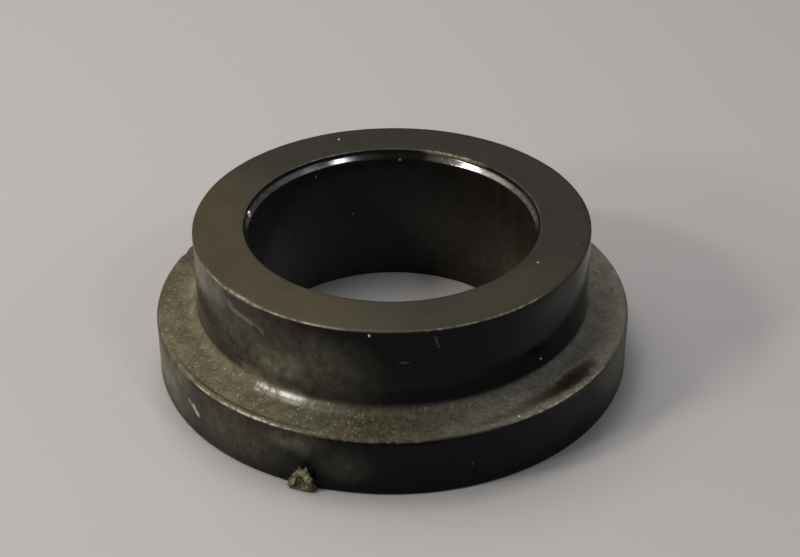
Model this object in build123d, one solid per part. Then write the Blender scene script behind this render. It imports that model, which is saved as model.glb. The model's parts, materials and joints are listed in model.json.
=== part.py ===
from build123d import *
import os
from math import cos, radians, sin

# A flanged bushing, moulded in one piece of black plastic. It stands on its flange with the nose up.
# All lengths are in millimetres and all angles in degrees. The origin is on the axis of the bore, in the
# flange's resting face, +Z runs up the nose, and the torn gate stub faces the -Y side.

# The section, from the bore outwards
bore_diameter = 18.0
nose_diameter = 25.0
flange_diameter = 30.3
flange_thickness = 4.0
nose_length = 5.7

# The mouth of the bore: a fine square step, left where the core pin shut off, above a lead-in bevel
mouth_step_depth = 0.24
bevel_width = 0.28
bevel_depth = 0.36

# The edges of the section: two are rounded, the sharper ones are only broken. On a narrow shoulder the
# root takes no more than this share of the flat that the rim leaves.
root_radius = 0.75
root_share_of_shoulder = 0.75
rim_radius = 0.30
nose_edge_break = 0.10
base_rim_break = 0.20
base_bore_break = 0.10

# The gate stub, torn off by hand at the foot of the flange
gate_bearing = -110.4
gate_width = 1.80
gate_height = 1.80
gate_reach = 0.80
gate_waist_reach = 0.44
gate_sunk = 0.50
tear_width = 0.45
tear_depth = 0.38
tear_tilt = 24.0

bore_radius = bore_diameter / 2
nose_radius = nose_diameter / 2
flange_radius = flange_diameter / 2
mouth_radius = bore_radius + bevel_width
shoulder_width = flange_radius - nose_radius
root_fillet = min(root_radius, root_share_of_shoulder * (shoulder_width - rim_radius))
overall_length = flange_thickness + nose_length
step_foot = overall_length - mouth_step_depth
bevel_foot = step_foot - bevel_depth


def corner(face, radius, height):
    """The section's corner at this radius and height."""
    return face.vertices().sort_by_distance((radius, 0, height))[0]


def turned_body():
    """The bushing's section, with its edges rounded or broken, turned about the bore's axis."""
    outline = Polyline(
        (bore_radius, 0),
        (flange_radius, 0),
        (flange_radius, flange_thickness),
        (nose_radius, flange_thickness),
        (nose_radius, overall_length),
        (mouth_radius, overall_length),
        (mouth_radius, step_foot),
        (bore_radius, bevel_foot),
        close=True,
    )
    section = Plane.XZ * make_face(outline)
    section = chamfer(corner(section, bore_radius, 0), base_bore_break)
    section = chamfer(corner(section, flange_radius, 0), base_rim_break)
    section = chamfer(corner(section, nose_radius, overall_length), nose_edge_break)
    section = fillet(corner(section, flange_radius, flange_thickness), rim_radius)
    section = fillet(corner(section, nose_radius, flange_thickness), root_fillet)
    return revolve(section, Axis.Z, 360)


def flange_wall_plane(bearing, outwards=0.0):
    """A plane that touches the flange's wall at this bearing: x runs along the wall, y up, z outwards."""
    out = Vector(cos(radians(bearing)), sin(radians(bearing)), 0)
    along = Vector(-out.Y, out.X, 0)
    return Plane(origin=out * (flange_radius + outwards), x_dir=along, z_dir=out)


def stub_section(outwards, corners):
    """One section of the stub. Each corner is a share of the stub's half width and of its height."""
    points = [(across * gate_width / 2, up * gate_height) for across, up in corners]
    return flange_wall_plane(gate_bearing, outwards) * make_face(Polyline(*points, close=True))


def gate_stub():
    """What is left of the gate: a broken lump, widest on the resting face, with a tear across its end."""
    root = ((-1.0, 0.02), (1.0, 0.02), (0.92, 0.45), (0.52, 0.78), (0.16, 1.0), (-0.40, 0.92), (-0.84, 0.52))
    waist = ((-0.88, 0.04), (0.95, 0.03), (0.78, 0.40), (0.46, 0.66), (0.18, 0.93), (-0.30, 0.80), (-0.62, 0.48))
    end = ((-0.50, 0.10), (0.72, 0.06), (0.66, 0.30), (0.30, 0.50), (0.10, 0.72), (-0.16, 0.62), (-0.42, 0.34))
    stub = loft(
        [
            stub_section(-gate_sunk, root),
            stub_section(gate_waist_reach, waist),
            stub_section(gate_reach, end),
        ],
        ruled=True,
    )
    pit_centre = flange_wall_plane(gate_bearing, gate_reach) * Pos(0, gate_height / 2, 0)
    tear = Box(tear_width, gate_height, 2 * tear_depth)
    return stub - pit_centre * Rot(0, 0, tear_tilt) * tear


bushing = turned_body() + gate_stub()
bushing.label = "bushing"

os.makedirs("parts", exist_ok=True)
export_step(bushing, "parts/bushing.step")
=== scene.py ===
import json
from math import atan2, cos, degrees, hypot, pi, radians, sin

import bmesh
import bpy
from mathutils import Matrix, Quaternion, Vector


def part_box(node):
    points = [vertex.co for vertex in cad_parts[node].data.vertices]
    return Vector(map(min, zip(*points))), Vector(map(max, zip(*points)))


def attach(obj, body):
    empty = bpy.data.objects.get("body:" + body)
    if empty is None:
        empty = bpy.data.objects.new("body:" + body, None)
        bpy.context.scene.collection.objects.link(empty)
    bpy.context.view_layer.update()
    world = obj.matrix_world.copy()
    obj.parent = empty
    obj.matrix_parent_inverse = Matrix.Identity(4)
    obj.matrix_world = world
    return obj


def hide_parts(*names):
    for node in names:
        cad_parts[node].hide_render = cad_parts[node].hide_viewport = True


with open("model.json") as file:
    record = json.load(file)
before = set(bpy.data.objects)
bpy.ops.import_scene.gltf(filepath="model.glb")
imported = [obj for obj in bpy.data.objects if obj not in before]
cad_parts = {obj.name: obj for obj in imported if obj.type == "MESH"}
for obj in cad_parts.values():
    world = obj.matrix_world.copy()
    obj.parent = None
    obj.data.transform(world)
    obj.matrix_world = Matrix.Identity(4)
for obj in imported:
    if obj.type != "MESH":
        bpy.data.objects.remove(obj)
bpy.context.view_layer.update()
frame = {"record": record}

# A flanged bushing, moulded in one piece of black plastic and standing on its flange. The whole moulding is
# modelled as one closed skin over the CAD solid. Its shape is in metres, its wear and its finishes in mm.
# Bearings are degrees round the bore's axis, from +X towards +Y, so that the front of the part is at -90.
MM = 0.001

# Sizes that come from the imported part
MOUNTS = {mount["name"]: mount for mount in frame["record"]["mounts"]}
BUSHING_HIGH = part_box("bushing")[1]
BORE = MOUNTS["bore"]["dims"]["r_mm"] * MM
NOSE = MOUNTS["nose"]["dims"]["r_mm"] * MM
FLANGE = BUSHING_HIGH[0]
SHOULDER = MOUNTS["shoulder"]["pos_m"][2]
TOP = BUSHING_HIGH[2]

# Sizes of the moulding's edges
MOUTH_STEP = 0.24 * MM
BEVEL_WIDTH = 0.28 * MM
BEVEL_DEPTH = 0.36 * MM
ROOT = 0.75 * MM
RIM = 0.30 * MM
NOSE_BREAK = 0.10 * MM
BASE_RIM_BREAK = 0.20 * MM
BASE_BORE_BREAK = 0.10 * MM
MOUTH_EDGE = 0.05 * MM
MOUTH = BORE + BEVEL_WIDTH
BEVEL_HEAD = TOP - MOUTH_STEP
BEVEL_FOOT = BEVEL_HEAD - BEVEL_DEPTH

# The gate's stub, torn off at the foot of the flange's wall. It is drawn out in tapering steps, and the
# outline of its foot narrows with a power of the height
GATE_BEARING = -110.4
GATE_WIDTH = 1.80 * MM
GATE_HEIGHT = 1.80 * MM
GATE_STEP = 0.11 * MM
GATE_STEPS = 7
GATE_TAPER = 0.965
GATE_LIP = 0.20 * MM
GATE_TEAR = 0.26 * MM
GATE_ARCH = 2.2
GATE_LUMPS = 0.06 * MM

# The fleck of lint in the mouth: half sizes across the wall, along it and up, and how far it stands
# outside the bore and above the bevel's foot
LINT_BEARING = 172.3
LINT_SIZE = (0.10, 0.15, 0.26)
LINT_OUT = 0.11 * MM
LINT_UP = 0.31 * MM
LINT_FLUFF = 0.03 * MM

# A circle's number of sides, how close to it a corner has to lie, and the angle from which an edge is sharp
SIDES = 600
CLOSE = 0.004 * MM
SHARP = 38


# Modelling by hand: what is picked, and the tests that pick it

def edit(piece):
    """Opens a piece, and no other, in edit mode."""
    bpy.ops.object.select_all(action="DESELECT")
    piece.select_set(True)
    bpy.context.view_layer.objects.active = piece
    bpy.ops.object.mode_set(mode="EDIT")


def close():
    """Leaves edit mode."""
    bpy.ops.object.mode_set(mode="OBJECT")


def pick(kind, test):
    """Picks the vertices, edges or faces whose corners pass the test, and nothing else."""
    bpy.ops.mesh.select_mode(type=kind)
    bpy.ops.mesh.select_all(action="DESELECT")
    mesh = bpy.context.edit_object.data
    shape = bmesh.from_edit_mesh(mesh)
    for item in {"VERT": shape.verts, "EDGE": shape.edges, "FACE": shape.faces}[kind]:
        corners = [item.co] if kind == "VERT" else [corner.co for corner in item.verts]
        if test(corners):
            item.select_set(True)
    bmesh.update_edit_mesh(mesh, loop_triangles=False, destructive=False)


def at(point, radius, height):
    """Whether a point lies at this radius and height."""
    return abs(hypot(point.x, point.y) - radius) < CLOSE and abs(point.z - height) < CLOSE


def rings(*circles):
    """Picks what lies on any one of these circles, each given as (radius, height)."""
    return lambda corners: any(all(at(corner, *circle) for corner in corners) for circle in circles)


def runs(start, end):
    """Picks the edges that run from one circle to another."""
    def test(corners):
        first, second = corners
        return (at(first, *start) and at(second, *end)) or (at(first, *end) and at(second, *start))
    return test


def outwards(bearing):
    """The level direction that points out of the part at this bearing."""
    return Vector((cos(radians(bearing)), sin(radians(bearing)), 0))


def round_edge(circle, size, segments):
    """Rounds the edge on this circle."""
    pick("EDGE", rings(circle))
    bpy.ops.mesh.bevel(offset=size, offset_type="OFFSET", segments=segments, profile=0.5, affect="EDGES")


def divide(start, end, cuts):
    """Cuts the band between two circles into rings."""
    pick("EDGE", runs(start, end))
    bpy.ops.mesh.subdivide(number_cuts=cuts)


# The moulding

def moulded_form():
    """The bushing from a disc: the nose drawn up, the bore sunk and opened, the edges rounded."""
    bpy.ops.object.select_all(action="DESELECT")
    bpy.ops.mesh.primitive_cylinder_add(
        vertices=SIDES, radius=FLANGE, depth=SHOULDER, end_fill_type="NGON", location=(0, 0, SHOULDER / 2)
    )
    piece = bpy.context.active_object
    piece.name = "bushing_body"
    bpy.ops.object.transform_apply(location=True, rotation=False, scale=False)
    edit(piece)

    pick("FACE", rings((FLANGE, SHOULDER)))
    bpy.ops.mesh.inset(thickness=FLANGE - NOSE)
    bpy.ops.mesh.extrude_region_move(TRANSFORM_OT_translate={"value": (0, 0, TOP - SHOULDER)})
    bpy.ops.mesh.inset(thickness=NOSE - MOUTH)
    bpy.ops.mesh.extrude_region_move(TRANSFORM_OT_translate={"value": (0, 0, -MOUTH_STEP)})
    bpy.ops.mesh.inset(thickness=BEVEL_WIDTH)
    bpy.ops.transform.translate(value=(0, 0, -BEVEL_DEPTH))
    bpy.ops.mesh.delete(type="ONLY_FACE")
    pick("FACE", rings((FLANGE, 0)))
    bpy.ops.mesh.inset(thickness=FLANGE - BORE)
    bpy.ops.mesh.delete(type="ONLY_FACE")
    pick("EDGE", rings((BORE, 0), (BORE, BEVEL_FOOT)))
    bpy.ops.mesh.bridge_edge_loops()

    divide((MOUTH, BEVEL_HEAD), (BORE, BEVEL_FOOT), cuts=4)
    round_edge((FLANGE, SHOULDER), RIM, segments=7)
    round_edge((NOSE, SHOULDER), ROOT, segments=9)
    round_edge((NOSE, TOP), NOSE_BREAK, segments=3)
    round_edge((MOUTH, TOP), MOUTH_EDGE, segments=2)
    round_edge((BORE, BEVEL_FOOT), MOUTH_EDGE, segments=2)
    round_edge((FLANGE, 0), BASE_RIM_BREAK, segments=2)
    round_edge((BORE, 0), BASE_BORE_BREAK, segments=2)

    divide((FLANGE, BASE_RIM_BREAK), (FLANGE, SHOULDER - RIM), cuts=16)
    divide((FLANGE - RIM, SHOULDER), (NOSE + ROOT, SHOULDER), cuts=18)
    divide((NOSE, SHOULDER + ROOT), (NOSE, TOP - NOSE_BREAK), cuts=18)
    divide((NOSE - NOSE_BREAK, TOP), (MOUTH + MOUTH_EDGE, TOP), cuts=12)
    divide((FLANGE - BASE_RIM_BREAK, 0), (BORE + BASE_BORE_BREAK, 0), cuts=6)
    divide((BORE, BASE_BORE_BREAK), (BORE, BEVEL_FOOT - MOUTH_EDGE), cuts=8)
    return piece


def in_gate(corners):
    """Whether a face of the flange's wall lies in the foot of the gate's stub."""
    middle = sum(corners, Vector()) / len(corners)
    out = outwards(GATE_BEARING)
    if middle.z > GATE_HEIGHT or hypot(middle.x, middle.y) < FLANGE - BASE_RIM_BREAK or middle.dot(out) < 0:
        return False
    off_centre = abs(middle.cross(out).z)
    return off_centre < GATE_WIDTH / 2 * (1 - (middle.z / GATE_HEIGHT) ** GATE_ARCH)


def torn_stub():
    """The gate's stub, drawn out of the wall in short steps, hollowed where it tore and left lumpy."""
    out = outwards(GATE_BEARING)
    pick("FACE", in_gate)
    bpy.ops.mesh.subdivide(number_cuts=1)
    for _ in range(GATE_STEPS):
        bpy.ops.mesh.extrude_region_move(TRANSFORM_OT_translate={"value": out * GATE_STEP})
        bpy.ops.transform.resize(value=(GATE_TAPER,) * 3, center_override=out * FLANGE)
    bpy.ops.mesh.inset(thickness=GATE_LIP)
    bpy.ops.transform.translate(value=-out * GATE_TEAR)
    pick("VERT", lambda corners: hypot(corners[0].x, corners[0].y) > FLANGE + 2 * CLOSE)
    bpy.ops.transform.vertex_random(offset=GATE_LUMPS, uniform=0, normal=0, seed=7)
    bpy.ops.mesh.vertices_smooth(factor=0.5, repeat=2)
    pick("VERT", lambda corners: corners[0].z < 0)
    bpy.ops.transform.resize(value=(1, 1, 0), center_override=(0, 0, 0))


# Wear: dents, chips and raised edges, each pressed into the skin by a weight at every point

# How far off the resting face, and off the flange's wall, the weights of the skin and the stub are full
SKIN_FULL = 0.5 * MM
STUB_FULL_OUT = 0.15 * MM
STUB_FULL_UP = 0.3 * MM


def bell(offset, half):
    """1 in the middle, falling smoothly to 0 at half its width and beyond."""
    share = abs(offset) / half
    return (1 - share * share) ** 2 if share < 1 else 0


def aside(point, bearing):
    """How far round the axis a point lies from a bearing, in degrees, the short way."""
    return (degrees(atan2(point.y, point.x)) - bearing + 180) % 360 - 180


def near(bearing, half_turn, radius, half_radius, height, half_height):
    """The weight of a spot: its bearing in degrees, its radius and height in mm, each with a half width."""
    def weight(point):
        out = hypot(point.x, point.y) / MM
        return (
            bell(aside(point, bearing), half_turn)
            * bell(out - radius, half_radius)
            * bell(point.z / MM - height, half_height)
        )
    return weight


def on_rim(bearing, half_turn):
    """The weight of a stretch of the flange's rim, most at the middle of its rounding."""
    def weight(point):
        out = hypot(point.x, point.y) - (FLANGE - RIM)
        up = point.z - (SHOULDER - RIM)
        if out < -CLOSE or up < -CLOSE:
            return 0
        return sin(2 * atan2(up, out)) * bell(aside(point, bearing), half_turn)
    return weight


def press(piece, name, depth, weight, grain=None):
    """Presses the skin in by a depth in mm times the weight at each point. A negative depth raises it."""
    shares = piece.vertex_groups.new(name=name)
    for vertex in piece.data.vertices:
        share = weight(vertex.co)
        if share > 0:
            shares.add([vertex.index], share, "REPLACE")
    push = piece.modifiers.new(name, "DISPLACE")
    push.vertex_group = name
    push.mid_level = 0
    push.strength = -depth * MM
    if grain:
        push.texture = bpy.data.textures.new(name, "CLOUDS")
        push.texture.noise_scale = grain * MM
        push.texture.noise_depth = 2
        push.texture_coords = "LOCAL"
    bpy.ops.object.modifier_apply(modifier=name)
    piece.vertex_groups.clear()


def off_floor(point, full):
    """A weight that is none on the resting face, which stays flat, and full from this height up."""
    return min(1, max(0, point.z) / full)


def on_skin(point):
    """The weight of the whole skin."""
    return off_floor(point, SKIN_FULL)


def on_stub(point):
    """The weight of the stub, least at its foot on the wall."""
    off_wall = max(0, hypot(point.x, point.y) - FLANGE) / STUB_FULL_OUT
    return min(off_wall, off_floor(point, STUB_FULL_UP))


def wear(piece):
    """The dents, chips, flash and worn edges that the bushing has picked up."""
    press(piece, "wavy_skin", 0.05, on_skin, grain=5)
    press(piece, "flash_left", -0.05, on_rim(-125, 20))
    press(piece, "flash_right", -0.05, on_rim(-47, 20))
    press(piece, "flash_ripple", 0.05, on_rim(-118, 40), grain=0.5)
    press(piece, "rubbed_front", 0.06, on_rim(-90, 20))
    press(piece, "groove_left", 0.03, near(-125, 20, 14.70, 0.12, 4.0, 0.1))
    press(piece, "dent_right", 0.10, near(-42, 15, 14.1, 0.70, 4.0, 0.3))
    press(piece, "rim_nick", 0.09, near(158, 2.4, 15.15, 0.6, 4.0, 0.6))
    press(piece, "chips_by_gate", 0.10, near(-112.7, 3.4, 15.15, 0.3, 3.45, 0.75), grain=0.35)
    press(piece, "lumps", 0.30, on_stub, grain=0.45)
    press(piece, "tear", 0.17, on_stub, grain=0.16)


# Looks: laying out nodes

NUMBER = "NodeSocketFloat"
PLACE = "NodeSocketVector"
ORIGIN = (0, 0, 0)


def add(tree, kind, feeds=None, **settings):
    """Adds a node with its settings, and feeds its inputs from plain values or other nodes' sockets."""
    node = tree.nodes.new(kind)
    for name, value in settings.items():
        setattr(node, name, value)
    for key, value in (feeds or {}).items():
        if isinstance(value, bpy.types.NodeSocket):
            tree.links.new(value, node.inputs[key])
        else:
            node.inputs[key].default_value = value
    return node


def sum_up(tree, operation, *values, clamp=False):
    """One step of arithmetic on numbers."""
    feeds = dict(enumerate(values))
    return add(tree, "ShaderNodeMath", feeds, operation=operation, use_clamp=clamp).outputs["Value"]


def gather(tree, operation, values):
    """Takes several numbers together, one after another, with the same operation."""
    result = values[0]
    for value in values[1:]:
        result = sum_up(tree, operation, result, value)
    return result


def times(tree, *values):
    """The product of several numbers."""
    return gather(tree, "MULTIPLY", values)


def plus(tree, *values):
    """The sum of several numbers."""
    return gather(tree, "ADD", values)


def any_of(tree, *shares):
    """The largest of several shares."""
    return gather(tree, "MAXIMUM", shares)


def without(tree, share):
    """What a share leaves of the whole."""
    return sum_up(tree, "SUBTRACT", 1, share)


def inverse(tree, value):
    """How often a value goes into one."""
    return sum_up(tree, "DIVIDE", 1, value)


def combine(tree, operation, *vectors, output="Vector"):
    """One step of arithmetic on vectors. A length, a distance or a dot product comes out as a Value."""
    feeds = dict(enumerate(vectors))
    return add(tree, "ShaderNodeVectorMath", feeds, operation=operation).outputs[output]


def scaled(tree, vector, factor):
    """A vector or a colour times a number."""
    feeds = {0: vector, "Scale": factor}
    return add(tree, "ShaderNodeVectorMath", feeds, operation="SCALE").outputs["Vector"]


def compose(tree, x, y, z=0.0):
    """The vector with these parts."""
    return add(tree, "ShaderNodeCombineXYZ", {"X": x, "Y": y, "Z": z}).outputs["Vector"]


def parts(tree, vector):
    """The parts of a vector, by their axes."""
    return add(tree, "ShaderNodeSeparateXYZ", {0: vector}).outputs


def carry(tree, value, low, high, to_low=0.0, to_high=1.0):
    """Carries a value smoothly from one range to another, and holds it beyond both ends."""
    feeds = {"Value": value, "From Min": low, "From Max": high, "To Min": to_low, "To Max": to_high}
    return add(tree, "ShaderNodeMapRange", feeds, interpolation_type="SMOOTHSTEP").outputs["Result"]


# A mix node has its numbers at inputs 2 and 3 and output 0, its colours at inputs 6 and 7 and output 2
def over(tree, share, below, above):
    """Lays one colour over another by a share."""
    below, above = [(*colour, 1) if isinstance(colour, tuple) else colour for colour in (below, above)]
    return add(tree, "ShaderNodeMix", {0: share, 6: below, 7: above}, data_type="RGBA").outputs[2]


def mixed(tree, share, below, above):
    """Moves one number towards another by a share."""
    return add(tree, "ShaderNodeMix", {0: share, 2: below, 3: above}, data_type="FLOAT").outputs[0]


def clouds(tree, position, scale, detail, roughness=0.5, output="Fac"):
    """Soft cloudy noise, with so many clouds to the mm."""
    feeds = {"Vector": position, "Scale": scale, "Detail": detail, "Roughness": roughness}
    return add(tree, "ShaderNodeTexNoise", feeds).outputs[output]


def by_height(tree, height, stops):
    """A colour or a grey that follows the height in mm, given as (height, colour) stops."""
    share = sum_up(tree, "DIVIDE", height, TOP / MM)
    ramp = add(tree, "ShaderNodeValToRGB", {"Fac": share})
    ramp.color_ramp.interpolation = "EASE"
    elements = ramp.color_ramp.elements
    while len(elements) < len(stops):
        elements.new(1)
    for element, (level, colour) in zip(elements, stops):
        element.position = level * MM / TOP
        element.color = (*colour, 1) if isinstance(colour, tuple) else (colour, colour, colour, 1)
    return ramp.outputs["Color"]


# Looks: the effects that the finishes share, each a node group

def new_group(name, takes, gives="Share", kind=NUMBER):
    """Starts a node group: what it takes besides the position, with first values, and what it gives."""
    tree = bpy.data.node_groups.new(name, "ShaderNodeTree")
    for socket, value in {"Position": ORIGIN, **takes}.items():
        taken = PLACE if isinstance(value, tuple) else NUMBER
        tree.interface.new_socket(socket, in_out="INPUT", socket_type=taken).default_value = value
    tree.interface.new_socket(gives, in_out="OUTPUT", socket_type=kind)
    given = tree.nodes.new("NodeGroupInput").outputs
    result = tree.nodes.new("NodeGroupOutput").inputs[gives]
    return tree, given, result


def use(tree, group, **feeds):
    """Places a node group, with its inputs named in lower case."""
    named = {name.replace("_", " ").capitalize(): value for name, value in feeds.items()}
    return add(tree, "ShaderNodeGroup", named, node_tree=group).outputs[0]


def film_group():
    """An uneven film: soft cloudy patches of a size, from none to all."""
    tree, given, share = new_group("film", {"Size": 2, "Thin": 0.4, "Thick": 0.65})
    noise = clouds(tree, given["Position"], inverse(tree, given["Size"]), detail=5, roughness=0.6)
    tree.links.new(carry(tree, noise, given["Thin"], given["Thick"]), share)
    return tree


def stray_group():
    """The position, led astray by soft noise, so that what is drawn with it has an uneven outline."""
    tree, given, moved = new_group("stray", {"Size": 1, "Reach": 1}, "Position", PLACE)
    noise = clouds(tree, given["Position"], inverse(tree, given["Size"]), detail=3, output="Color")
    shift = scaled(tree, combine(tree, "SUBTRACT", noise, (0.5, 0.5, 0.5)), given["Reach"])
    tree.links.new(combine(tree, "ADD", given["Position"], shift), moved)
    return tree


def specks_group():
    """Specks strewn at a spacing, each within its size, on a share of the places."""
    tree, given, share = new_group("specks", {"Spacing": 1, "Size": 0.1, "Share": 0.5})
    feeds = {"Vector": given["Position"], "Scale": inverse(tree, given["Spacing"])}
    cells = add(tree, "ShaderNodeTexVoronoi", feeds).outputs
    chance = add(tree, "ShaderNodeSeparateColor", {0: cells["Color"]}).outputs
    reach = times(tree, given["Size"], mixed(tree, chance["Green"], 0.4, 1.0))
    away = times(tree, cells["Distance"], given["Spacing"])
    dot = carry(tree, sum_up(tree, "DIVIDE", away, reach), 1.0, 0.5)
    chosen = sum_up(tree, "LESS_THAN", chance["Red"], given["Share"])
    bright = mixed(tree, chance["Blue"], 0.35, 1.0)
    tree.links.new(times(tree, dot, chosen, bright), share)
    return tree


def patch_group():
    """A soft patch round a centre, turned round the axis, with a half size outwards, along and up."""
    takes = {"Centre": ORIGIN, "Turn": ORIGIN, "Size": (1, 1, 1), "Solid": 0.3}
    tree, given, share = new_group("patch", takes)
    feeds = {
        "Vector": given["Position"],
        "Location": given["Centre"],
        "Rotation": given["Turn"],
        "Scale": given["Size"],
    }
    local = add(tree, "ShaderNodeMapping", feeds, vector_type="TEXTURE").outputs["Vector"]
    away = combine(tree, "LENGTH", local, output="Value")
    tree.links.new(carry(tree, away, 1.0, given["Solid"]), share)
    return tree


def mark_group():
    """A thin mark from one point to another, with a half width."""
    tree, given, share = new_group("mark", {"Start": ORIGIN, "End": (1, 0, 0), "Half width": 0.05})
    along = combine(tree, "SUBTRACT", given["End"], given["Start"])
    way = combine(tree, "SUBTRACT", given["Position"], given["Start"])
    covered = combine(tree, "DOT_PRODUCT", way, along, output="Value")
    whole = combine(tree, "DOT_PRODUCT", along, along, output="Value")
    foot = scaled(tree, along, sum_up(tree, "DIVIDE", covered, whole, clamp=True))
    away = combine(tree, "DISTANCE", way, foot, output="Value")
    tree.links.new(carry(tree, away, given["Half width"], 0.0), share)
    return tree


def scuffs_group():
    """Fine upright scuffs: streaks that are much longer up than round."""
    tree, given, share = new_group("scuffs", {"Width": 0.1, "Length": 2, "Thin": 0.55})
    across = inverse(tree, given["Width"])
    stretch = compose(tree, across, across, inverse(tree, given["Length"]))
    streaks = clouds(tree, combine(tree, "MULTIPLY", given["Position"], stretch), scale=1, detail=3)
    thick = plus(tree, given["Thin"], 0.2)
    tree.links.new(carry(tree, streaks, given["Thin"], thick), share)
    return tree


def ring_group():
    """A soft line along a circle round the axis, strongest where it faces one way, within a half turn."""
    takes = {"Radius": 10, "Height": 0, "Half width": 0.1, "Facing": (1, 0, 0), "Half turn": 30}
    tree, given, share = new_group("ring", takes)
    axes = parts(tree, given["Position"])
    level = compose(tree, axes["X"], axes["Y"])
    reach = combine(tree, "LENGTH", level, output="Value")
    off_radius = sum_up(tree, "SUBTRACT", reach, given["Radius"])
    off_height = sum_up(tree, "SUBTRACT", axes["Z"], given["Height"])
    away = combine(tree, "LENGTH", compose(tree, off_radius, off_height), output="Value")
    way = combine(tree, "NORMALIZE", level)
    facing = combine(tree, "DOT_PRODUCT", way, given["Facing"], output="Value")
    end = sum_up(tree, "COSINE", sum_up(tree, "RADIANS", given["Half turn"]))
    line = carry(tree, away, given["Half width"], 0.0)
    tree.links.new(times(tree, line, carry(tree, facing, end, 1.0)), share)
    return tree


FILM = film_group()
STRAY = stray_group()
SPECKS = specks_group()
PATCH = patch_group()
MARK = mark_group()
SCUFFS = scuffs_group()
RING = ring_group()


def film(tree, position, size, thin, thick):
    """An uneven film with clouds of a size in mm: none where the noise is thin, all where it is thick."""
    return use(tree, FILM, position=position, size=size, thin=thin, thick=thick)


def spot(bearing, radius, height):
    """A point on the part, in mm, from its bearing, radius and height."""
    return tuple(outwards(bearing) * radius + Vector((0, 0, height)))


def patches(tree, position, places):
    """The strongest of several soft patches, each given as in the lists of patches."""
    shares = []
    for bearing, radius, height, size, solid, strength in places:
        centre = spot(bearing, radius, height)
        turn = (0, 0, radians(bearing))
        share = use(tree, PATCH, position=position, centre=centre, turn=turn, size=size, solid=solid)
        shares.append(times(tree, share, strength))
    return any_of(tree, *shares)


def marks(tree, position, lines):
    """The strongest of several thin marks, each given as in the lists of marks."""
    shares = []
    for start, end, half_width, strength in lines:
        ends = {"start": spot(*start), "end": spot(*end)}
        share = use(tree, MARK, position=position, half_width=half_width, **ends)
        shares.append(times(tree, share, strength))
    return any_of(tree, *shares)


def edge_lines(tree, position, stretches):
    """The strongest of several stretches of an edge, each given as in the lists of stretches."""
    shares = []
    for radius, height, half_width, bearing, half_turn, strength in stretches:
        facing = tuple(outwards(bearing))
        share = use(
            tree, RING, position=position, radius=radius, height=height,
            half_width=half_width, facing=facing, half_turn=half_turn,
        )
        shares.append(times(tree, share, strength))
    return any_of(tree, *shares)


def wall_spots(tree, position, radius, spots):
    """Soft spots of film and painted sheen on an upright wall of this radius in mm, each given as in the
    lists of film.
    """
    return patches(tree, position, [
        (bearing, radius, height, (WALL_REACH, along, up), 0.0, strength)
        for bearing, height, along, up, strength in spots
    ])


# Looks: where the wear, the dirt and the painted light and shade lie

# Stretches of an edge: radius, height and half width in mm, then the middle, the half turn and the strength
# Worn stretches of the nose's top edge and the flange's rim, with painted highlights where the lamps catch
# them
OUTER_WORN_AND_HIGHLIT = (
    (12.45, 9.66, 0.12, -128, 32, 0.9),
    (12.43, 9.66, 0.24, -137, 9, 0.8),
    (12.45, 9.66, 0.12, -62, 26, 0.7),
    (15.06, 3.92, 0.10, -127, 20, 2.0),
    (15.06, 3.92, 0.18, -94, 16, 0.5),
    (15.05, 3.93, 0.11, -46, 20, 1.3),
)
# Worn stretches of the mouth's edge, with painted highlights over the edge and the step
MOUTH_WORN_AND_HIGHLIT = (
    (9.33, 9.69, 0.09, 118, 20, 0.50),
    (9.32, 9.64, 0.22, 62, 17, 0.90),
    (9.33, 9.69, 0.08, 24, 34, 0.30),
)
BEVEL_POLISHED = (
    (9.10, 9.22, 0.42, 112, 22, 1.3),
    (9.10, 9.22, 0.42, 54, 26, 1.5),
)
# Dust on the bevel with painted reflections of the lamps along it, and a painted glow beside its right
# highlight
BEVEL_DUST_AND_REFLECTION = (
    (9.08, 9.20, 0.38, 150, 34, 2.6),
    (9.10, 9.21, 0.30, 30, 36, 1.7),
    (9.12, 9.28, 0.50, 66, 11, 0.9),
)
# A painted line of shade just inside the rim at the left, along the shallow groove
SHOULDER_GROOVE_SHADE = ((14.74, 4.0, 0.16, -130, 30, 0.8),)

# Film from handling, with painted sheen where the walls catch the light: bearing, height, half sizes along
# and up in mm, and strength. The first number is its half size outwards, enough to take in the whole skin
# of a wall
WALL_REACH = 2.0
NOSE_FILM_AND_SHEEN = (
    (-161, 8.9, 4.6, 2.4, 1.30),
    (-148, 8.7, 2.6, 1.6, 0.75),
    (-155, 5.2, 4.2, 1.6, 0.25),
    (-135, 7.0, 9.0, 5.0, 0.32),
    (-123, 6.1, 4.0, 2.3, 0.80),
    (-112, 7.0, 5.0, 2.8, 0.42),
    (-106, 5.4, 3.6, 2.0, 0.24),
    (-100, 6.3, 2.8, 2.4, 0.18),
    (-38, 8.6, 3.4, 1.6, 0.22),
    (165, 7.2, 6.0, 3.4, 0.40),
    (118, 6.2, 6.5, 3.0, 0.28),
    (66, 7.6, 6.0, 3.2, 0.34),
    (14, 6.6, 5.0, 3.4, 0.28),
)
FLANGE_FILM_AND_SHEEN = (
    (-163, 2.2, 6.6, 2.5, 1.25),
    (-152, 3.2, 3.6, 1.5, 0.80),
    (-144, 2.3, 5.0, 3.0, 0.20),
    (-151, 1.6, 3.6, 2.4, 0.50),
    (-129, 2.2, 6.0, 3.0, 0.38),
    (-114, 3.1, 3.2, 1.4, 0.52),
    (-101, 2.0, 2.4, 1.9, 0.22),
    (-20, 2.9, 5.0, 2.9, 1.05),
    (-12, 2.4, 6.0, 3.6, 0.85),
    (40, 2.0, 7.0, 3.0, 0.35),
    (95, 2.4, 7.0, 3.0, 0.45),
    (150, 2.0, 6.0, 3.0, 0.35),
)

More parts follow.
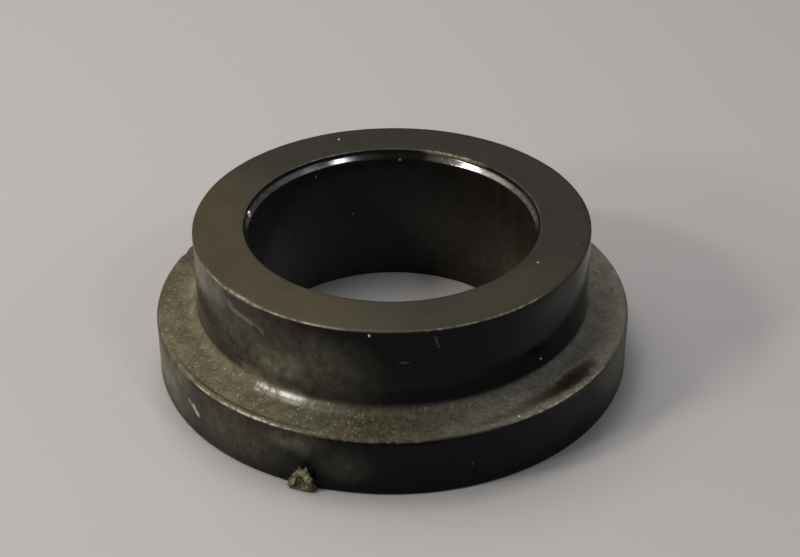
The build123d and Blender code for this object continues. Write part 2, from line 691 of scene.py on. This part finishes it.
# Marks: the bearing, radius and height where each starts and ends, its half width in mm, and strength
FILM_STREAK = (((-142, 12.5, 9.0), (-128, 12.5, 8.0), 0.42, 0.75),)
PALE_MARKS = (
    ((-78.9, 12.5, 9.17), (-77.9, 12.5, 8.45), 0.10, 0.3),
    ((-145.0, 15.15, 2.25), (-143.7, 15.15, 2.05), 0.18, 0.8),
    ((-143.1, 15.15, 2.05), (-141.4, 15.15, 1.72), 0.30, 1.5),
)

# Patches: bearing, radius and height, half sizes outwards, along and up in mm, how much of the patch is
# solid, and strength
SHOULDER_CORNER_DUST = ((175, 13.15, 4.1, (0.9, 2.0, 1.0), 0.0, 1.2),)
# Patches where the shoulder's dust is thinner, so that it is darker there
SHOULDER_FILM_GAPS = (
    (153, 14.2, 4.0, (2.2, 3.6, 1.5), 0.4, 0.85),
    (176, 15.0, 4.0, (0.8, 5.0, 1.0), 0.2, 0.42),
    (-161, 15.0, 4.0, (0.7, 5.0, 1.0), 0.2, 0.42),
)
# Painted shade in the shallow hollow on the shoulder's right, and along its tail
SHOULDER_HOLLOW_SHADE = (
    (-39.8, 14.15, 4.0, (0.85, 2.6, 0.9), 0.55, 1.0),
    (-50, 14.15, 4.0, (0.80, 3.6, 0.9), 0.2, 0.85),
    (-62, 14.4, 4.0, (0.55, 3.8, 0.9), 0.1, 0.65),
)
# A painted reflection of the shoulder, low on the nose's wall
NOSE_FOOT_REFLECTION = ((-130, 12.8, 4.7, (1.3, 3.6, 1.0), 0.2, 0.60),)
# A painted sheen on the front of the nose's top
TOP_FRONT_SHEEN = ((-52, 10.9, 9.7, (3.0, 7.5, 1.0), 0.0, 0.5),)
PALE_SPOTS = (
    (-87.1, 12.5, 7.56, (0.3, 0.5, 0.12), 0.0, 0.3),
    (-72.5, 15.15, 1.75, (0.1, 0.1, 0.2), 0.0, 0.5),
)
OUTER_FLECKS = (
    (-45, 12.5, 5.15, (0.12, 0.12, 0.12), 0.3, 1.0),
    (-96.1, 12.5, 9.42, (0.10, 0.10, 0.13), 0.3, 1.0),
    (108.2, 11.38, 9.7, (0.12, 0.10, 0.1), 0.3, 1.0),
    (-30.7, 10.19, 9.7, (0.09, 0.09, 0.1), 0.3, 1.0),
    (-60.5, 14.79, 4.0, (0.12, 0.12, 0.1), 0.3, 1.0),
    (-90.8, 15.0, 4.0, (0.12, 0.18, 0.1), 0.3, 1.0),
    (-122.1, 15.1, 3.95, (0.14, 0.22, 0.14), 0.3, 0.7),
)
BORE_FLECKS = (
    (124, 9.0, 8.62, (0.1, 0.1, 0.12), 0.3, 1.0),
    (107.1, 9.0, 5.06, (0.1, 0.1, 0.12), 0.3, 1.0),
    (86.2, 9.0, 9.03, (0.1, 0.12, 0.12), 0.3, 1.0),
)
BORE_HAZE = ((146, 9.0, 4.2, (1.5, 2.2, 2.6), 0.0, 0.5),)
# The polish at the root of the nose: a sharp middle, a lobe beside it and a faint glow along the root
ROOT_LOBE = ((-126.4, 12.75, 4.25, (0.8, 1.4, 0.8), 0.1, 1.0),)
ROOT_CORE = ((-118.0, 12.66, 4.32, (0.7, 1.4, 0.7), 0.35, 1.0),)
ROOT_GLOW = ((-112.0, 12.90, 4.20, (0.9, 5.5, 0.8), 0.0, 1.0),)


# Looks: the finishes

PLASTIC_IOR = 1.23

# Colours of the dirt, the wear and the painted light and shade on the outside, then of the bore, the torn
# face and the lint
PAINTED_COOL_LIGHT = (0.160, 0.147, 0.126)
WARM_DUST_AND_SHEEN = (0.198, 0.180, 0.113)
GREASE_AND_SHEEN = (0.180, 0.167, 0.120)
PAINTED_YELLOW_SHEEN = (0.24, 0.184, 0.060)
SCUFF_GREY = (0.16, 0.14, 0.10)
PAINTED_GLINT = (0.40, 0.37, 0.26)
DENT_SHADE = (0.010, 0.006, 0.004)
GROOVE_SHADE = (0.008, 0.007, 0.005)
SCRATCH_GREY = (0.36, 0.33, 0.28)
WORN_EDGE_AND_HIGHLIGHT = (0.34, 0.31, 0.24)
FLECK_WHITE = (0.55, 0.53, 0.46)
BORE_LIT_LEFT = (0.0160, 0.0164, 0.0168)
BORE_RIGHT = (0.0100, 0.0080, 0.0055)
BORE_GREASE = (0.16, 0.14, 0.11)
MOTE_GREY = (0.40, 0.38, 0.34)
WORN_MOUTH_AND_HIGHLIGHT = (0.30, 0.31, 0.20)
BEVEL_DUST_AND_REFLECTION_GREY = (0.20, 0.19, 0.18)
TORN_DARK = (0.050, 0.048, 0.028)
TORN_PALE = (0.22, 0.215, 0.14)
TORN_GLINT = (0.26, 0.25, 0.19)
LINT_SHADED = (0.80, 0.80, 0.77)
LINT_WHITE = (0.93, 0.93, 0.91)


def begin_finish(name):
    """Starts a material and gives it, its tree and its shader."""
    material = bpy.data.materials.new(name)
    material.use_nodes = True
    tree = material.node_tree
    tree.nodes.clear()
    shader = add(tree, "ShaderNodeBsdfPrincipled")
    add(tree, "ShaderNodeOutputMaterial", {"Surface": shader.outputs["BSDF"]})
    return material, tree, shader


def place_on_part(tree):
    """The position on the part, in mm."""
    return scaled(tree, add(tree, "ShaderNodeTexCoord").outputs["Object"], 1 / MM)


def give(tree, shader, colour, roughness, relief, depth):
    """Feeds a shader its colour and roughness, and its relief as a bump this many mm deep."""
    tree.links.new(colour, shader.inputs["Base Color"])
    tree.links.new(roughness, shader.inputs["Roughness"])
    bump = add(tree, "ShaderNodeBump", {"Height": relief, "Distance": depth * MM})
    tree.links.new(bump.outputs["Normal"], shader.inputs["Normal"])


def polish(tree, shader, share, roughness, ior):
    """Lays a polish over a shader by a share, as a clear coat."""
    tree.links.new(share, shader.inputs["Coat Weight"])
    shader.inputs["Coat Roughness"].default_value = roughness
    shader.inputs["Coat IOR"].default_value = ior


def shoulder_film_and_sheen(tree, position, left, grained, middling, fine):
    """The dust on the left of the shoulder, with a painted sheen that grows towards the left, thinner in a
    few given patches.
    """
    far_left = carry(tree, parts(tree, position)["X"], -15.0, -10.0, 0.75, 1.0)
    dust_and_painted_light = plus(tree, times(tree, left, far_left, 1.15), patches(tree, position, SHOULDER_CORNER_DUST))
    cloud = mixed(tree, plus(tree, times(tree, middling, 0.5), times(tree, fine, 0.5)), 0.45, 1.12)
    return times(tree, dust_and_painted_light, without(tree, patches(tree, position, SHOULDER_FILM_GAPS)), grained, cloud)


def wall_film_and_sheen(tree, position, satin, scuffed):
    """The handling film and painted sheen on the walls of the nose and the flange, with a painted
    reflection of the shoulder at the nose's foot, uneven in outline and broken by scuffs.
    """
    strayed = use(tree, STRAY, position=position, size=1.5, reach=1.5)
    greased_and_sheen = any_of(
        tree,
        wall_spots(tree, strayed, NOSE / MM, NOSE_FILM_AND_SHEEN),
        wall_spots(tree, strayed, FLANGE / MM, FLANGE_FILM_AND_SHEEN),
        marks(tree, strayed, FILM_STREAK),
        patches(tree, strayed, NOSE_FOOT_REFLECTION),
    )
    haze = clouds(tree, position, scale=1.6, detail=6, roughness=0.62)
    haze = carry(tree, haze, 0.30, 0.70, 0.62, 1.52)
    return times(tree, greased_and_sheen, haze, without(tree, satin), mixed(tree, scuffed, 1.08, 0.68))


def top_sheen(tree, position, satin, broad):
    """A painted yellowish sheen on the nose's top, strongest at the left and in a patch at the front."""
    leftwards = combine(tree, "DOT_PRODUCT", position, (-0.86, -0.50, 0), output="Value")
    at_left = times(tree, carry(tree, leftwards, 1.5, 9.5), mixed(tree, broad, 0.9, 1.0))
    return times(tree, any_of(tree, at_left, patches(tree, position, TOP_FRONT_SHEEN)), satin)


def moulded_black():
    """The outside: a glossy wall and nose, a grained shoulder and a satin top, with a little dust and some
    painted sheen, highlights and shade.
    """
    material, tree, shader = begin_finish("moulded_black")
    shader.inputs["IOR"].default_value = PLASTIC_IOR
    position = place_on_part(tree)
    axes = parts(tree, position)
    height = axes["Z"]
    # Shares that grow towards the left and the right, which weight the painted sheen and light on those
    # sides
    left = carry(tree, axes["X"], 2.0, -12.0)
    right = carry(tree, axes["X"], -2.0, 10.0)

    # The bare plastic, from the resting face up
    wall = (0.0011, 0.0012, 0.0020)
    grained_black = (0.044, 0.038, 0.023)
    nose_foot = (0.0085, 0.0081, 0.0085)
    nose = (0.0014, 0.0012, 0.0012)
    satin_top = (0.0228, 0.0213, 0.0162)
    colour = by_height(tree, height, [
        (0.0, wall), (3.75, wall), (3.97, grained_black), (4.25, grained_black),
        (4.6, nose_foot), (5.7, nose_foot), (6.2, nose), (9.55, nose), (9.68, satin_top),
    ])
    roughness = by_height(tree, height, [
        (0.0, 0.26), (3.6, 0.24), (3.8, 0.22), (3.97, 0.46), (4.10, 0.36), (4.35, 0.22),
        (4.8, 0.14), (9.55, 0.16), (9.68, 0.36),
    ])
    grained = by_height(tree, height, [
        (0.0, 0.0), (3.88, 0.0), (3.98, 1.0), (4.3, 0.9), (4.65, 0.0), (9.7, 0.0),
    ])
    satin = carry(tree, height, 9.60, 9.68)

    # Unevenness of several sizes, specks and scuffs, which the rest of the finish shares
    broad = film(tree, position, size=3.0, thin=0.42, thick=0.62)
    middling = film(tree, position, size=0.9, thin=0.38, thick=0.66)
    fine = film(tree, position, size=0.30, thin=0.35, thick=0.68)
    broken = film(tree, position, size=0.45, thin=0.40, thick=0.58)
    grain = film(tree, position, size=0.16, thin=0.3, thick=0.7)
    sparkle = use(tree, SPECKS, position=position, spacing=0.20, size=0.108, share=0.28)
    dust = use(tree, SPECKS, position=position, spacing=1.9, size=0.075, share=0.45)
    scuffed = use(tree, SCUFFS, position=position, width=0.20, length=0.6, thin=0.46)
    scuffed = times(tree, scuffed, without(tree, carry(tree, height, 3.6, 3.9)))

    mottle = mixed(tree, grained, mixed(tree, satin, 0.0, 0.14), 0.55)
    shade = plus(tree, times(tree, fine, 0.55), times(tree, middling, 0.45))
    shade = times(tree, sum_up(tree, "SUBTRACT", shade, 0.5), times(tree, mottle, 2))
    colour = scaled(tree, colour, plus(tree, 1, shade))

    # Dust and handling films, with painted sheen and light where the lamps fall
    shoulder_dust_and_sheen = shoulder_film_and_sheen(tree, position, left, grained, middling, fine)
    painted_right_light = times(tree, right, grained, mixed(tree, fine, 0.60, 1.0), mixed(tree, middling, 0.8, 1.1))
    walls_grease_and_sheen = wall_film_and_sheen(tree, position, satin, scuffed)
    painted_top_sheen = top_sheen(tree, position, satin, broad)
    # Painted cool light on the shoulder's right, broken up by the grain
    colour = over(tree, painted_right_light, colour, PAINTED_COOL_LIGHT)
    # Dust on the shoulder, with painted sheen towards the left
    colour = over(tree, times(tree, shoulder_dust_and_sheen, 0.5), colour, WARM_DUST_AND_SHEEN)
    # Handling film on the walls, with painted sheen where they catch the light
    colour = over(tree, times(tree, walls_grease_and_sheen, 0.5), colour, GREASE_AND_SHEEN)
    # Painted yellowish sheen on the top, strongest at the left
    colour = over(tree, times(tree, painted_top_sheen, 0.095), colour, PAINTED_YELLOW_SHEEN)
    colour = over(tree, times(tree, scuffed, left, 0.05), colour, SCUFF_GREY)
    # Painted glints: pale specks on the grain, more of them on the left
    painted_glints = times(tree, sparkle, grained, mixed(tree, left, 0.34, 0.48))
    colour = over(tree, painted_glints, colour, PAINTED_GLINT)

    # Wear and dirt, with painted shade in a hollow and a groove, and painted highlights on worn edges
    strayed = use(tree, STRAY, position=position, size=0.5, reach=0.9)
    # Painted shade in the shallow hollow on the shoulder's right
    shaded_dent = times(tree, patches(tree, strayed, SHOULDER_HOLLOW_SHADE), mixed(tree, fine, 0.65, 1.0))
    grained = times(tree, grained, without(tree, shaded_dent))
    marked = any_of(tree, marks(tree, position, PALE_MARKS), patches(tree, position, PALE_SPOTS))
    marked = times(tree, marked, mixed(tree, fine, 0.4, 0.9))
    # Worn edges, with painted highlights where the lamps catch them
    worn_and_highlit = edge_lines(tree, position, OUTER_WORN_AND_HIGHLIT + MOUTH_WORN_AND_HIGHLIT)
    worn_and_highlit = times(tree, worn_and_highlit, mixed(tree, fine, 0.4, 1.0), mixed(tree, broken, 0.15, 1.1))
    flecks = any_of(tree, dust, patches(tree, position, OUTER_FLECKS))
    colour = over(tree, shaded_dent, colour, DENT_SHADE)
    colour = over(tree, marked, colour, SCRATCH_GREY)
    # Painted shade along the groove inside the rim
    colour = over(tree, edge_lines(tree, position, SHOULDER_GROOVE_SHADE), colour, GROOVE_SHADE)
    colour = over(tree, worn_and_highlit, colour, WORN_EDGE_AND_HIGHLIGHT)
    colour = over(tree, flecks, colour, FLECK_WHITE)

    # Gloss
    filmed = times(tree, any_of(tree, shoulder_dust_and_sheen, walls_grease_and_sheen), 0.5)
    roughness = plus(tree, roughness, times(tree, broad, 0.06), times(tree, filmed, 0.6))
    roughness = mixed(tree, times(tree, scuffed, 0.5), roughness, 0.5)
    polished = any_of(
        tree,
        times(tree, patches(tree, position, ROOT_LOBE), mixed(tree, fine, 0.15, 1.0)),
        times(tree, patches(tree, position, ROOT_CORE), mixed(tree, fine, 0.7, 1.0)),
        times(tree, patches(tree, position, ROOT_GLOW), mixed(tree, fine, 0.15, 0.35)),
    )
    polish(tree, shader, polished, roughness=0.38, ior=2.1)
    roughness = mixed(tree, polished, roughness, 0.28)
    roughness = mixed(tree, shaded_dent, roughness, 0.30)
    roughness = mixed(tree, flecks, roughness, 0.8)

    grained = times(tree, grained, without(tree, times(tree, polished, 0.4)))
    relief = plus(tree, times(tree, grain, grained), times(tree, scuffed, 0.2), flecks)
    give(tree, shader, colour, roughness, relief, depth=0.03)
    return material


def bore_gloss():
    """The bore and its bevelled mouth, off a polished core: glossy black with a few motes of dust."""
    material, tree, shader = begin_finish("bore_gloss")
    shader.inputs["IOR"].default_value = PLASTIC_IOR
    position = place_on_part(tree)
    axes = parts(tree, position)
    broad = film(tree, position, size=2.5, thin=0.45, thick=0.7)
    mottle = film(tree, position, size=0.6, thin=0.40, thick=0.70)
    fine = film(tree, position, size=0.22, thin=0.30, thick=0.70)
    dust = use(tree, SPECKS, position=position, spacing=1.3, size=0.07, share=0.30)
    motes = any_of(tree, dust, patches(tree, position, BORE_FLECKS))

    # The plastic and its haze, with painted light and shade: paler and cooler on the left, paler with depth
    # and darker towards the back
    right = carry(tree, axes["X"], -8.0, 9.0)
    colour = over(tree, right, BORE_LIT_LEFT, BORE_RIGHT)
    hazy = times(tree, patches(tree, position, BORE_HAZE), mixed(tree, mottle, 0.03, 0.07))
    haze = plus(tree, times(tree, broad, 0.02), times(tree, mottle, 0.025), hazy)
    colour = over(tree, haze, colour, BORE_GREASE)
    depth = carry(tree, axes["Z"], 9.0, 1.5, 0.65, 1.7)
    colour = scaled(tree, colour, times(tree, depth, carry(tree, axes["Y"], 3.5, 8.8, 1.25, 0.70)))
    colour = over(tree, times(tree, motes, 0.5), colour, MOTE_GREY)

    # The mouth: a worn edge with a painted highlight, and a bevel with dust and painted reflections in
    # places and polish in others
    # The mouth's worn edge, with a painted highlight
    worn_and_highlit = times(tree, edge_lines(tree, position, MOUTH_WORN_AND_HIGHLIT), mixed(tree, fine, 0.2, 1.0))
    colour = over(tree, worn_and_highlit, colour, WORN_MOUTH_AND_HIGHLIGHT)
    above_bore = carry(tree, axes["Z"], (BEVEL_FOOT - MOUTH_EDGE) / MM, BEVEL_FOOT / MM)
    below_step = carry(tree, axes["Z"], (BEVEL_HEAD + MOUTH_EDGE) / MM, BEVEL_HEAD / MM)
    # Dust and painted reflections on the bevel
    dust_and_painted_light = sum_up(tree, "MINIMUM", edge_lines(tree, position, BEVEL_DUST_AND_REFLECTION), 1)
    dust_and_painted_light = times(tree, dust_and_painted_light, times(tree, above_bore, below_step), mixed(tree, fine, 0.10, 0.42))
    colour = over(tree, dust_and_painted_light, colour, BEVEL_DUST_AND_REFLECTION_GREY)
    polished = times(tree, edge_lines(tree, position, BEVEL_POLISHED), mixed(tree, fine, 0.65, 1.05))
    polish(tree, shader, polished, roughness=0.18, ior=1.85)

    roughness = mixed(tree, above_bore, mixed(tree, broad, 0.20, 0.28), 0.15)
    roughness = mixed(tree, motes, roughness, 0.9)
    give(tree, shader, colour, roughness, motes, depth=0.02)
    return material


def torn_plastic():
    """The torn face of the gate's stub: stress-whitened, matt and caked with a little dust."""
    material, tree, shader = begin_finish("torn_plastic")
    shader.inputs["IOR"].default_value = PLASTIC_IOR
    position = place_on_part(tree)
    broad = film(tree, position, size=0.6, thin=0.40, thick=0.62)
    sparkle = use(tree, SPECKS, position=position, spacing=0.28, size=0.10, share=0.35)
    colour = over(tree, broad, TORN_DARK, TORN_PALE)
    colour = over(tree, times(tree, sparkle, 0.5), colour, TORN_GLINT)
    give(tree, shader, colour, mixed(tree, broad, 0.42, 0.62), broad, depth=0.03)
    return material


def lint():
    """White woolly fibres."""
    material, tree, shader = begin_finish("lint")
    position = place_on_part(tree)
    fibres = use(tree, SCUFFS, position=position, width=0.05, length=0.2, thin=0.40)
    woolly = any_of(tree, fibres, film(tree, position, size=0.12, thin=0.35, thick=0.65))
    colour = over(tree, woolly, LINT_SHADED, LINT_WHITE)
    give(tree, shader, colour, mixed(tree, woolly, 0.80, 0.95), woolly, depth=0.02)
    return material


def lint_fleck():
    """A white fleck of lint that clings to the mouth of the bore."""
    bpy.ops.object.select_all(action="DESELECT")
    bpy.ops.mesh.primitive_ico_sphere_add(subdivisions=3, radius=1 * MM)
    fleck = bpy.context.active_object
    fleck.name = "lint_fleck"
    stand = outwards(LINT_BEARING) * (BORE + LINT_OUT) + Vector((0, 0, BEVEL_FOOT + LINT_UP))
    edit(fleck)
    bpy.ops.mesh.select_all(action="SELECT")
    bpy.ops.transform.resize(value=LINT_SIZE, center_override=(0, 0, 0))
    bpy.ops.transform.rotate(value=radians(-LINT_BEARING), orient_axis="Z", center_override=(0, 0, 0))
    bpy.ops.transform.translate(value=stand)
    bpy.ops.transform.vertex_random(offset=LINT_FLUFF, uniform=0, normal=0, seed=3)
    close()
    fleck.data.materials.append(lint())
    bpy.ops.object.shade_smooth()
    return fleck


def finish(piece):
    """Gives each face its material: the outside, the bore with its mouth, and the torn stub."""
    for material in (moulded_black(), bore_gloss(), torn_plastic()):
        piece.data.materials.append(material)
    edit(piece)
    inner = MOUTH + MOUTH_EDGE + CLOSE
    outer = FLANGE + 0.1 * MM

    def in_bore(corners):
        return all(hypot(corner.x, corner.y) < inner and corner.z > BASE_BORE_BREAK for corner in corners)

    def out_of_wall(corners):
        return any(hypot(corner.x, corner.y) > outer for corner in corners)

    for index, test in ((1, in_bore), (2, out_of_wall)):
        pick("FACE", test)
        bpy.context.active_object.active_material_index = index
        bpy.ops.object.material_slot_assign()
    close()
    bpy.ops.object.shade_smooth_by_angle(angle=radians(SHARP))


# The stage: a plain pale floor, soft lamps, a pale surround

FLOOR_SIZE = 1.6


def pale_floor():
    """A plain matt floor, level with the part's resting face."""
    material, _, shader = begin_finish("pale_floor")
    shader.inputs["Base Color"].default_value = (0.325, 0.318, 0.328, 1)
    shader.inputs["Roughness"].default_value = 0.7
    bpy.ops.object.select_all(action="DESELECT")
    bpy.ops.mesh.primitive_plane_add(size=FLOOR_SIZE)
    ground = bpy.context.active_object
    ground.name = "floor"
    ground.data.materials.append(material)


def lamp(name, towards, distance, shape, width, height, glow, colour):
    """A soft lamp that faces the part: where it stands, its size in metres and how bright its face is."""
    light = bpy.data.lights.new(name, "AREA")
    light.shape = shape
    light.size = width
    light.size_y = height
    area = width * height * (pi / 4 if shape == "ELLIPSE" else 1)
    light.energy = 4 * area * glow
    light.color = colour
    stand = bpy.data.objects.new(name, light)
    stand.location = Vector(towards).normalized() * distance
    stand.rotation_euler = Vector(towards).to_track_quat("Z", "Y").to_euler()
    bpy.context.scene.collection.objects.link(stand)


def lights():
    """Two warm keys and a strip at the left, a cool fill and a strip at the right, and a lamp overhead."""
    warm = (1, 0.95, 0.84)
    lamp("key", (-0.76, -0.50, 0.42), 0.32, "ELLIPSE", 0.045, 0.045, 52, warm)
    lamp("key_high", (-0.76, -0.27, 0.605), 0.32, "ELLIPSE", 0.045, 0.04, 62, warm)
    lamp("strip_left", (-0.87, 0.02, 0.49), 0.35, "RECTANGLE", 0.34, 0.12, 1.8, (1, 0.93, 0.80))
    lamp("fill", (0.526, -0.502, 0.69), 0.5, "ELLIPSE", 0.045, 0.045, 50, (0.90, 0.95, 1))
    lamp("strip_right", (0.84, -0.12, 0.50), 0.50, "RECTANGLE", 0.36, 0.12, 1.8, (0.95, 0.97, 1))
    lamp("back", (-0.22, 0.30, 0.93), 0.22, "RECTANGLE", 0.20, 0.15, 3.5, (1, 0.95, 0.88))


def surround():
    """A dim surround that the camera sees as pale."""
    world = bpy.data.worlds.new("surround")
    world.use_nodes = True
    bpy.context.scene.world = world
    tree = world.node_tree
    tree.nodes.clear()
    dim = add(tree, "ShaderNodeBackground", {"Color": (0.90, 0.95, 1, 1), "Strength": 0.11})
    pale = add(tree, "ShaderNodeBackground", {"Color": (0.52, 0.51, 0.52, 1), "Strength": 1})
    seen = add(tree, "ShaderNodeLightPath").outputs["Is Camera Ray"]
    both = add(tree, "ShaderNodeMixShader", {0: seen, 1: dim.outputs[0], 2: pale.outputs[0]})
    add(tree, "ShaderNodeOutputWorld", {"Surface": both.outputs[0]})


def set_camera():
    """The camera stands in front of the part and above it, and leans a little to the left."""
    stand = Vector((0, -87.776, 61.577)) * MM
    aim = Vector((0.5, 0, 5.276)) * MM
    lean = Quaternion((0, 0, 1), radians(-0.3406))
    camera = bpy.data.objects.new("camera", bpy.data.cameras.new("camera"))
    camera.data.lens = 73.125
    camera.data.clip_start = 0.005
    camera.location = stand
    camera.rotation_euler = ((aim - stand).to_track_quat("-Z", "Y") @ lean).to_euler()
    bpy.context.scene.collection.objects.link(camera)
    bpy.context.scene.camera = camera


# The part, its stage and the sizes

piece = moulded_form()
torn_stub()
bpy.ops.mesh.select_all(action="SELECT")
bpy.ops.mesh.normals_make_consistent(inside=False)
close()
wear(piece)
finish(piece)
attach(piece, "root")
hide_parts("bushing")
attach(lint_fleck(), "root")

pale_floor()
lights()
surround()
set_camera()
bpy.context.scene.view_settings.view_transform = "Standard"
